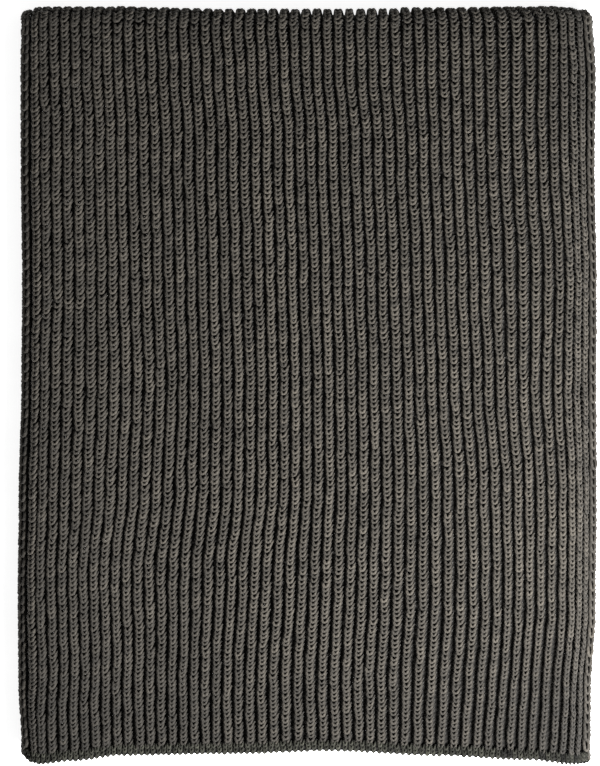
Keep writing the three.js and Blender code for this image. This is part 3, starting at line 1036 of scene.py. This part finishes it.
def wrapped(rng, wrap, centre, outward, up, radius, yarn, uneven, tone):
    """Yarns round an edge. A table gives their angles above straight outward and how far they
    sink in. tone is the mean and the spread of their tones."""
    angle = np.radians(wrap["angle"])[:, None]
    normal = np.broadcast_to(np.cos(angle) * outward + np.sin(angle) * up, centre.shape)
    each = (len(centre), 1)
    out = radius - wrap["sink"] * MM + MM * rng.normal(0, 0.08, each)
    radii = yarn * wrap["thick"] * rng.normal(1, uneven, each)
    tones = np.clip(rng.normal(*tone, len(centre)), 0, 1)
    return centre + normal * out[..., None], normal, radii, tones


def selvedge_chain(edge, places, seed):
    """The chain along a selvedge: one row of links above and one below, half a link apart."""
    half = (places[1] - places[0]) / 2
    upper = selvedge_links(edge, places, seed, 1)
    lower = selvedge_links(edge, places[:-1] + half, seed + 20, -1)
    return joined(upper, lower)


def selvedge_links(edge, places, seed, side):
    """Links above (1) or below (-1) a selvedge. edge gives a centre, the outward direction and
    the direction up for each place, and the places stand one link apart."""
    rng = np.random.default_rng(seed)
    link = SELVEDGE_LINK
    uneven = rng.normal(0, 0.06, (len(places), 1))
    along = places[:, None] + (link["along"] + uneven) * np.gradient(places)[:, None]
    centre, outward, up = edge(along)
    radius = EDGE_RADIUS - EDGE_YARN * LINK_SINK
    yarns = wrapped(rng, link, centre, outward, side * up, radius, EDGE_YARN, 0.06, (0.42, 0.2))
    # Painted shade: links darken the deeper they sink in.
    crests = 0.7 - 0.6 * ease(link["sink"], 0.0, SUNK_DEPTH)
    return *yarns, np.broadcast_to(crests, centre.shape[:-1])


def strip_edge(cloth, side):
    """The left (-1) or right (1) edge of the top layer and the outer fold."""
    across = 0.5 + side * (0.5 - EDGE_RADIUS / cloth.width)

    def edge(along):
        centre, up = cloth.strip(across, along, EDGE_RADIUS)
        ahead, _ = cloth.strip(across, along + 1e-4, EDGE_RADIUS)
        return centre, np.cross(unit(ahead - centre), up) * side, up

    return edge


def low_edge(cloth, side, hidden=False):
    """An edge of the bottom layer, or of the hidden layer that shows above it at the left."""
    widest = LEFT_CORE["lower_out"].argmax()
    high = LEFT_CORE["lower_high"][widest] * MM if hidden else cloth.thickness / 2

    def edge(along):
        if hidden:
            x = cloth.outline(along)["flat_left"] - LEFT_CORE["lower_out"][widest] * MM
        else:
            x = cloth.under_x(0.5 + 0.5 * side, along)
        x = x - side * EDGE_RADIUS
        centre = points(x, cloth.low_y(x, along), high)
        return centre, np.array([side, 0.0, 0.0]), np.array([0.0, 0.0, 1.0])

    return edge


def border_shade(columns, rng):
    """How much each small loop of a border lies in shade: the two ends more."""
    shade = 0.08 + 0.20 * ease(columns, 0.25, 0.0) + 0.56 * ease(columns, 0.4, 1.0)
    uneven = 0.14 + 0.20 * ease(columns, 0.5, 1.0)
    return np.clip(shade + uneven * rng.normal(0, 1, len(columns)), 0, 1)


def nose_wraps(surface, columns, thickness, yarn, unit_width, seed):
    """Wraps of yarn round a border's nose, one for each column across."""
    rng = np.random.default_rng(seed)
    wrap = NOSE_WRAP
    half = thickness / 2
    uneven = rng.normal(0, 0.05, (len(columns), 1))
    centre, up = surface(columns[:, None] + (wrap["across"] + uneven) * unit_width, half, half)
    forward = np.array([0.0, -1.0, 0.0])
    radius = half - yarn * WRAP_SINK
    yarns = wrapped(rng, wrap, centre, forward, up, radius, yarn, 0.08, (0.45, 0.22))
    lit = 1 - border_shade(columns, rng)[:, None]
    # Painted shade: wraps darken the deeper they sink in, and with their border's painted shade.
    return *yarns, ease(wrap["sink"], SUNK_DEPTH, 0.0) * lit


def border_core(surface, columns, thickness, depth):
    """Loops of points for the bead inside a border."""
    lift = NOSE_INSET
    section = (
        (depth, lift + 0.9 * MM),
        (0.5 * depth, lift),
        (lift + 0.1 * MM, 0.35 * thickness),
        (lift + 0.1 * MM, 0.65 * thickness),
        (0.5 * depth, thickness - lift),
        (depth, thickness - 0.5 * MM),
    )
    return np.stack([surface(columns, back, down)[0] for back, down in section], 1)


def border_pieces(name, cloth, surface, rows, yarn, seed, *, thickness, depth, beads):
    """A border: its small loops, two to a rib, the wraps round its nose, and its body."""
    columns = (np.arange(2 * cloth.ribs) + 0.5) / (2 * cloth.ribs)
    half_rib = 0.5 / cloth.ribs
    shade = border_shade(columns, np.random.default_rng(seed + 2))[:, None]
    fit = {"rise": BORDER_ROW, "row_shift": 0.12, "unit_width": half_rib, "shade": shade}
    loops = lay_loops(surface, BORDER_LOOP, columns, np.array(rows), yarn, seed, **fit)
    wraps = nose_wraps(surface, columns, thickness, yarn * 1.08, half_rib, seed + 1)
    yarn_piece(f"{name}_loops", loops, "border_yarn")
    yarn_piece(f"{name}_wraps", wraps, "border_yarn")
    core = border_core(surface, np.linspace(0.002, 0.998, beads + 1), thickness, depth)
    return bead_piece(f"{name}_body", core, "inner_yarn_painted_shade")


def core_places(cloth, along, side, draw_in):
    """Places across of the hidden layers' upper or lower surface at a place along. draw_in is the
    share by which their sides are drawn in."""
    o = cloth.outline(along)
    keep = (1 - draw_in) * MM
    left = o["flat_left"] + draw_in * CORE_END_INSET - LEFT_CORE[f"{side}_out"] * keep
    right = o["flat_right"] - draw_in * CORE_END_INSET + RIGHT_CORE[f"{side}_out"] * keep
    middles = INNER_EDGE["across"] * 2 * cloth.reach - cloth.reach
    return np.concatenate([left, middles, right[::-1]])


def core_heights(side):
    left, right = LEFT_CORE[f"{side}_high"], RIGHT_CORE[f"{side}_high"]
    flat = np.full(len(INNER_EDGE["across"]), left[-1])
    return np.concatenate([left, flat, right[::-1]]) * MM


def core_grid(cloth, side):
    """The hidden layers' upper or lower surface, rounded off into the outer fold."""
    own, upper, lower = (core_heights(name) for name in (side, "upper", "lower"))
    rows = []
    for along in np.linspace(0, 1, 12):
        x = core_places(cloth, along, side, 0)
        rows.append(points(x, cloth.low_y(x, along, SEAM), own))
    middle = (upper + lower) / 2
    for turn in np.radians(CORE_END_TURNS):
        x = core_places(cloth, 1, side, CORE_SIDE_DRAW_IN * math.sin(turn))
        y = cloth.far_start + (upper - lower) / 2 * math.sin(turn)
        rows.append(points(x, y, middle + (own - middle) * math.cos(turn)))
    return np.stack(rows)


class SCARF_OT_top_ribs(bpy.types.Operator):
    """Knit the ribs of the top layer, loop by loop"""

    bl_idname = "scarf.top_ribs"
    bl_label = "Top ribs"

    def execute(self, context):
        cloth = FoldedCloth()
        along = row_places(cloth)
        along = along[along < 1]
        parts = np.array_split(np.arange(1, cloth.ribs - 1), TOP_PARTS)
        for number, ribs in enumerate(parts, 1):
            yarns = rib_yarns(cloth, ribs, along, seed=40 + number)
            yarn_piece(f"top_ribs_{number}", yarns)
        return {"FINISHED"}


class SCARF_OT_top_wall(bpy.types.Operator):
    """Make the body of the top layer, behind its ribs"""

    bl_idname = "scarf.top_wall"
    bl_label = "Top wall"

    def execute(self, context):
        cloth = FoldedCloth()
        along = np.linspace(-0.004, 0.9995, 32)
        wall = wall_piece("top_wall", cloth, cloth.strip, along, cloth.thickness)
        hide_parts("top_stretch")
        return {"FINISHED"}


class SCARF_OT_outer_fold(bpy.types.Operator):
    """Knit the outer fold, where the strip turns back under itself"""

    bl_idname = "scarf.outer_fold"
    bl_label = "Outer fold"

    def execute(self, context):
        cloth = FoldedCloth()
        along = row_places(cloth)
        along = along[along >= 1][:-1]
        yarns = rib_yarns(cloth, np.arange(1, cloth.ribs - 1), along, seed=60)
        ribs = yarn_piece("outer_fold_ribs", yarns)
        turns = np.linspace(1, cloth.fold_end, 11)
        wall = wall_piece("outer_fold_wall", cloth, cloth.strip, turns, cloth.thickness)
        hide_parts("far_turn")
        return {"FINISHED"}


class SCARF_OT_front_border(bpy.types.Operator):
    """Cast on the border along the front of the top layer"""

    bl_idname = "scarf.front_border"
    bl_label = "Front border"

    def execute(self, context):
        cloth = FoldedCloth()
        rows = (1.9 * MM, 1.9 * MM + BORDER_ROW)
        sizes = {"thickness": cloth.thickness, "depth": cloth.hem_depth, "beads": 2 * cloth.ribs}
        surface = cloth.front_border
        body = border_pieces("front_border", cloth, surface, rows, BORDER_YARN, 70, **sizes)
        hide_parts("front_hem")
        return {"FINISHED"}


class SCARF_OT_selvedges(bpy.types.Operator):
    """Chain the selvedges of the layers that show at the sides"""

    bl_idname = "scarf.selvedges"
    bl_label = "Selvedges"

    def execute(self, context):
        cloth = FoldedCloth()
        link = 2 * cloth.sizes.row_height / cloth.length
        top = np.arange(-0.6 * cloth.hem_depth / cloth.length, cloth.fold_end - link, link)
        lower = np.arange(0.0, 1.0 - link, link)
        for name, side in (("left", -1), ("right", 1)):
            chain = selvedge_chain(strip_edge(cloth, side), top, seed=80 + side)
            loops = edge_loops(cloth, side, top[1:], seed=90 + side)
            yarn_piece(f"{name}_selvedge", joined(chain, loops))
            chain = selvedge_chain(low_edge(cloth, side), lower, seed=84 + side)
            yarn_piece(f"{name}_bottom_selvedge", chain)
        chain = selvedge_chain(low_edge(cloth, -1, hidden=True), lower, seed=88)
        yarn_piece("left_hidden_selvedge", chain)
        return {"FINISHED"}


class SCARF_OT_hidden_layers(bpy.types.Operator):
    """Make the two layers hidden inside the scarf, as one rounded body"""

    bl_idname = "scarf.hidden_layers"
    bl_label = "Hidden layers"

    def execute(self, context):
        cloth = FoldedCloth()
        upper, lower = core_grid(cloth, "upper"), core_grid(cloth, "lower")
        body = shell_piece("hidden_layers", upper, lower, "inner_yarn_painted_shade")
        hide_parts("inner_layers")
        return {"FINISHED"}


class SCARF_OT_bottom_layer(bpy.types.Operator):
    """Make the bottom layer, whose ribs lie flat on the floor"""

    bl_idname = "scarf.bottom_layer"
    bl_label = "Bottom layer"

    def execute(self, context):
        cloth = FoldedCloth()
        sheet = wall_piece(
            "bottom_layer",
            cloth,
            cloth.under,
            np.linspace(0, 0.9995, 40),
            cloth.thickness,
            phases=UNDER_PHASES,
            depth=0,
            relief=UNDER_RELIEF,
            raised_edge=0,
            finish="bottom_yarn",
            facing_down=True,
        )
        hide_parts("under_stretch")
        return {"FINISHED"}


class SCARF_OT_near_fold(bpy.types.Operator):
    """Knit the fold behind the front hem, where the strip turns up from the floor"""

    bl_idname = "scarf.near_fold"
    bl_label = "Near fold"

    def execute(self, context):
        cloth = FoldedCloth()
        rise = cloth.sizes.row_height / (math.pi * cloth.near_radius)
        yarns = lay_loops(
            cloth.near_fold,
            RIB_LOOP,
            (np.arange(cloth.ribs) + 0.5) / cloth.ribs,
            np.arange(0.06, 0.92, rise),
            cloth.sizes.yarn_radius,
            seed=90,
            rise=rise,
            unit_width=0.92 * MM / (near_high.x - near_low.x),
        )
        yarn_piece("near_fold_ribs", yarns)
        turns = np.linspace(0, 1, 9)
        inside = cloth.near_radius * FOLD_INSIDE
        edges = {"raised_edge": 0, "edge_lift": 0}
        wall = wall_piece("near_fold_wall", cloth, cloth.near_fold, turns, inside, **edges)
        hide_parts("near_turn")
        return {"FINISHED"}


class SCARF_OT_inner_border(bpy.types.Operator):
    """Bind off the border that is tucked in under the front hem"""

    bl_idname = "scarf.inner_border"
    bl_label = "Inner border"

    def execute(self, context):
        cloth = FoldedCloth()
        thickness, depth = hem_high.z - hem_low.z, cloth.hem_depth - SEAM
        sizes = {"thickness": thickness, "depth": depth, "beads": cloth.ribs}
        surface, yarn = cloth.inner_border, BORDER_YARN * 0.9
        body = border_pieces("inner_border", cloth, surface, (2.0 * MM,), yarn, 96, **sizes)
        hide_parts("inner_hem")
        return {"FINISHED"}


class SCARF_OT_stage(bpy.types.Operator):
    """Lay the floor, and set up the soft light and the camera overhead"""

    bl_idname = "scarf.stage"
    bl_label = "Stage"

    def execute(self, context):
        scene = context.scene
        stage, colours = scene.scarf_stage, scene.scarf_colours
        n = Nodes("floor")
        grain = n.noise(n.object_place(), 40)
        paper = n.ramp(grain, (0.3, scaled(colours.floor, 0.98)), (0.7, tuple(colours.floor)))
        finish = n.surface(
            {
                "Base Color": paper,
                "Roughness": 0.9,
                "Specular IOR Level": 0.0,
                "Emission Color": paper,
                "Emission Strength": stage.floor_glow,
            }
        )
        turns = ((-1, -1), (1, -1), (1, 1), (-1, 1))
        corners = [(x * FLOOR_HALF, y * FLOOR_HALF, 0) for x, y in turns]
        floor = new_piece("floor", corners, [(0, 1, 2, 3)], finish)
        floor.location.z = -FLOOR_DROP

        centre = Vector(((cad_low.x + cad_high.x) / 2, (cad_low.y + cad_high.y) / 2, 0))
        key = bpy.data.lights.new("key", "AREA")
        key.shape = "DISK"
        key.size = LAMP_SIZE
        key.energy = stage.key_power
        lamp = new_object("key", key, centre + Vector(LAMP_PLACE))
        aim = centre + Vector(LAMP_AIM) - lamp.location
        lamp.rotation_euler = aim.to_track_quat("-Z", "Y").to_euler()

        world = bpy.data.worlds.new("studio")
        world.use_nodes = True
        surroundings = world.node_tree.nodes["Background"]
        surroundings.inputs["Color"].default_value = (1.0, 1.0, 1.0, 1)
        surroundings.inputs["Strength"].default_value = stage.fill_strength
        scene.world = world

        camera = bpy.data.cameras.new("camera")
        camera.sensor_width = 36
        length = cad_high.y - cad_low.y
        above = stage.camera_height - cad_high.z
        camera.lens = camera.sensor_width * above / (length * stage.margin)
        place = centre + Vector((*CAMERA_SHIFT, stage.camera_height))
        scene.camera = new_object("camera", camera, place)
        scene.view_settings.view_transform = "Standard"
        return {"FINISHED"}


class SCARF_PT_panel(bpy.types.Panel):
    """The scarf's pieces, sizes and colours"""

    bl_idname = "SCARF_PT_panel"
    bl_label = "Folded scarf"
    bl_space_type = "VIEW_3D"
    bl_region_type = "UI"
    bl_category = "Scarf"

    def draw(self, context):
        scene = context.scene
        for group in (scene.scarf_sizes, scene.scarf_colours, scene.scarf_stage):
            box = self.layout.box()
            for name in group.bl_rna.properties.keys():
                if name not in ("rna_type", "name"):
                    box.prop(group, name)
        column = self.layout.column()
        for operator in OPERATORS:
            column.operator(operator.bl_idname)


GROUPS = (ScarfSizes, ScarfColours, ScarfStage)
OPERATORS = (
    SCARF_OT_top_ribs,
    SCARF_OT_top_wall,
    SCARF_OT_outer_fold,
    SCARF_OT_front_border,
    SCARF_OT_selvedges,
    SCARF_OT_hidden_layers,
    SCARF_OT_bottom_layer,
    SCARF_OT_near_fold,
    SCARF_OT_inner_border,
    SCARF_OT_stage,
)


def register():
    for made in (*GROUPS, *OPERATORS, SCARF_PT_panel):
        bpy.utils.register_class(made)
    bpy.types.Scene.scarf_sizes = bpy.props.PointerProperty(type=ScarfSizes)
    bpy.types.Scene.scarf_colours = bpy.props.PointerProperty(type=ScarfColours)
    bpy.types.Scene.scarf_stage = bpy.props.PointerProperty(type=ScarfStage)


def unregister():
    del bpy.types.Scene.scarf_stage
    del bpy.types.Scene.scarf_colours
    del bpy.types.Scene.scarf_sizes
    for made in reversed((*GROUPS, *OPERATORS, SCARF_PT_panel)):
        bpy.utils.unregister_class(made)


def main():
    register()
    bpy.ops.scarf.stage()
    bpy.ops.scarf.hidden_layers()
    bpy.ops.scarf.near_fold()
    bpy.ops.scarf.bottom_layer()
    bpy.ops.scarf.top_ribs()
    bpy.ops.scarf.top_wall()
    bpy.ops.scarf.outer_fold()
    bpy.ops.scarf.front_border()
    bpy.ops.scarf.selvedges()
    bpy.ops.scarf.inner_border()


if __name__ == "__main__":
    main()
